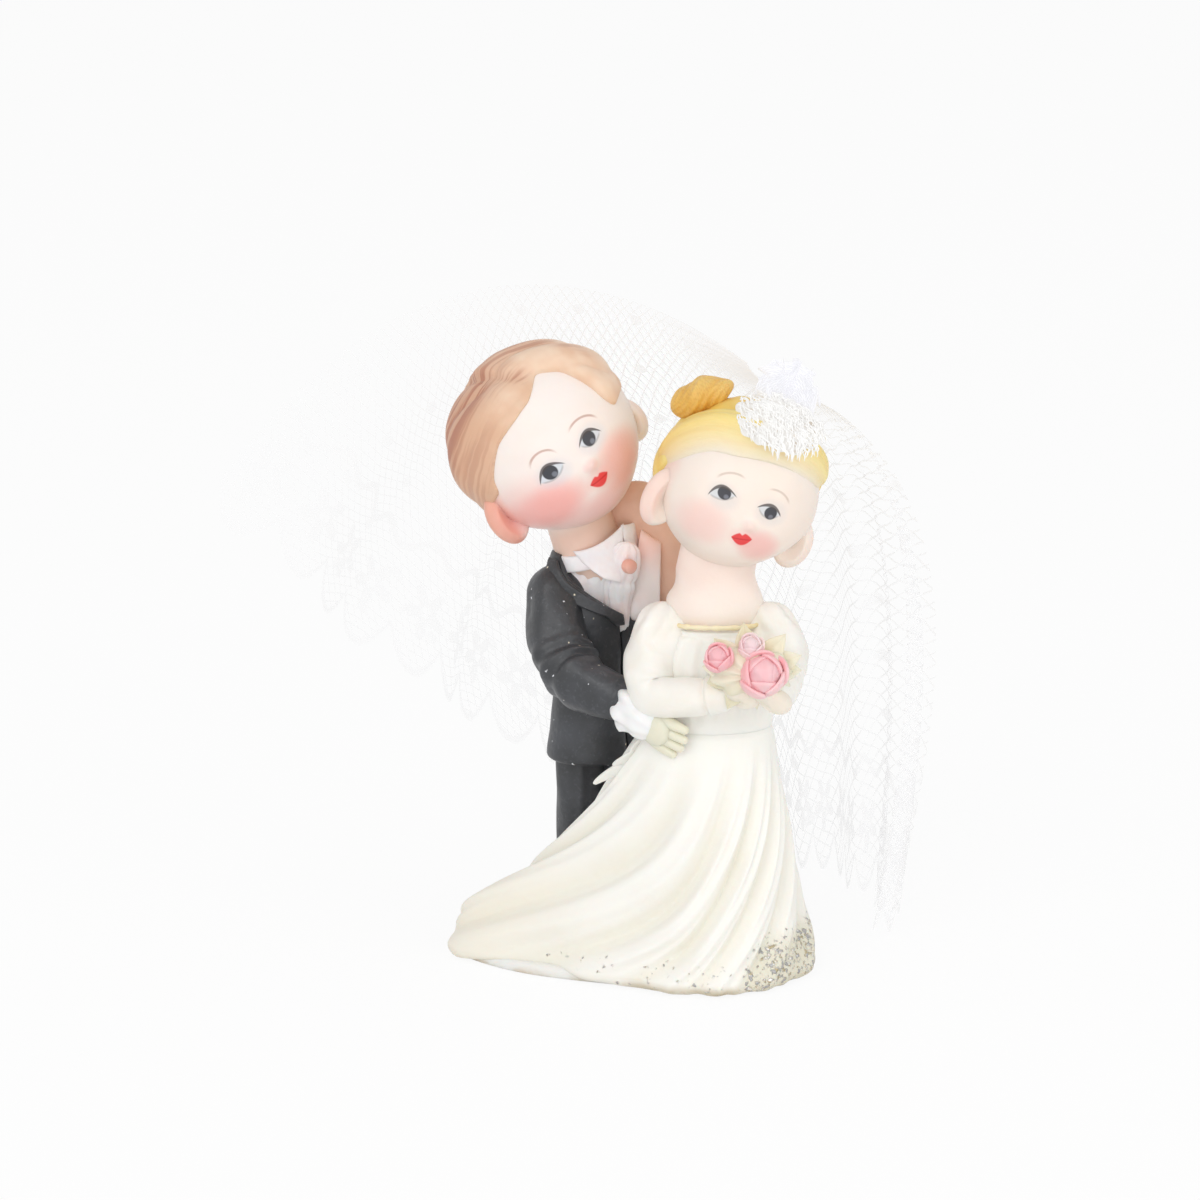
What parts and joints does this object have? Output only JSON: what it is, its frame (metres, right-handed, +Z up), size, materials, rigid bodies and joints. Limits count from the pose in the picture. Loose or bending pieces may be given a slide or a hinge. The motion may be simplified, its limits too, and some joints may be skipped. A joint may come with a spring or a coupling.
{
  "type": "wedding cake topper",
  "caption": "Small painted resin bride and groom on one thin base, the bride in a pleated gown with a train and a lace veil fanned out behind the couple",
  "frame": {"origin": "on the flat underside of the base plate, under the place where the couple meets", "axes": "+Z up, the couple looks along -Y, +X runs from the groom's side to the bride's side"},
  "size_m": [0.0752, 0.0457, 0.0669],
  "materials": {
    "white_paint": "white satin paint on cast resin",
    "cream_paint": "ivory satin paint on cast resin, yellower in the hollows",
    "skin_paint": "pale skin-coloured resin with blushed cheeks",
    "gold_hair": "yellow satin paint with darker gold hollows",
    "brown_hair": "pale brown satin paint with red-brown streaks",
    "black_paint": "charcoal satin paint with small pale specks",
    "gold_trim": "yellow-gold paint line",
    "rose_paint": "pink satin paint",
    "leaf_paint": "pale cream-green satin paint",
    "stud_paint": "coral paint dot",
    "lace": "white polyester lace and tulle net"
  },
  "bodies": {
    "root": {"base_plate": "white_paint", "gown_skirt": "cream_paint", "waist_frill": "white_paint", "bride_bust": "skin_paint", "bride_bodice": "cream_paint", "neckline_trim": "gold_trim", "bride_head": "skin_paint", "bride_hair": "gold_hair", "bride_fringe": "gold_hair", "bride_bun": "gold_hair", "bride_right_sleeve": "cream_paint", "bride_left_sleeve": "cream_paint", "bride_right_hand": "cream_paint", "bride_left_hand": "cream_paint", "bouquet_rose_large": "rose_paint", "bouquet_rose_small": "rose_paint", "bouquet_rose_top": "rose_paint", "bouquet_leaves": "leaf_paint", "groom_head": "skin_paint", "groom_hair": "brown_hair", "groom_shirt": "white_paint", "groom_jacket": "black_paint", "groom_right_lapel": "black_paint", "groom_left_lapel": "black_paint", "groom_collar": "white_paint", "groom_tie": "white_paint", "tie_stud": "stud_paint", "groom_right_shoe": "black_paint", "groom_left_shoe": "black_paint", "groom_trousers": "black_paint", "groom_right_hand": "cream_paint", "groom_right_cuff": "white_paint", "groom_right_sleeve": "black_paint", "groom_left_hand": "cream_paint", "groom_left_cuff": "white_paint", "groom_left_sleeve": "black_paint", "veil_gather": "lace", "veil_rosette": "lace", "veil": "lace"}
  },
  "joints": []
}
